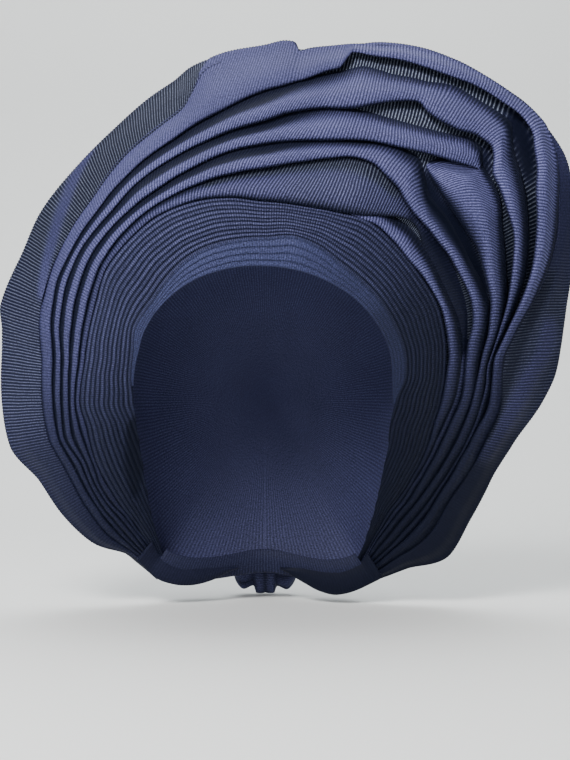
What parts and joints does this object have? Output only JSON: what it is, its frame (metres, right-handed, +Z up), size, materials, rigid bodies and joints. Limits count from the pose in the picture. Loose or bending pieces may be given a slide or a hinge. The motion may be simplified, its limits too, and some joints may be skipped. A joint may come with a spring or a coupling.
{
  "type": "tied gele head tie",
  "caption": "Tied cloth head wrap with a smooth forehead band, fine pleats round the face, a tall lopsided fan of broad folds and a plain wrap tied at the nape.",
  "frame": {"origin": "middle of the head that holds the wrap, at the height of the hat line and ear tops", "axes": "+Z up, -Y is the front of the face opening, +X to the right as seen from the front"},
  "size_m": [0.337, 0.1766, 0.3293],
  "materials": {
    "band_cloth": "soft sheen woven navy, a little bluer",
    "pleated_cloth": "ribbed woven navy with a soft sheen",
    "sheer_cloth": "thin ribbed woven navy with an open weave",
    "back_cloth": "plain woven navy"
  },
  "bodies": {
    "root": {"forehead_band": "band_cloth", "fine_pleats": "pleated_cloth", "fan_folds": "pleated_cloth", "fan_rim": "sheer_cloth", "crown_wrap": "back_cloth", "nape_band": "back_cloth", "nape_knot": "back_cloth", "tie_end_left": "back_cloth", "tie_end_right": "back_cloth"}
  },
  "joints": []
}
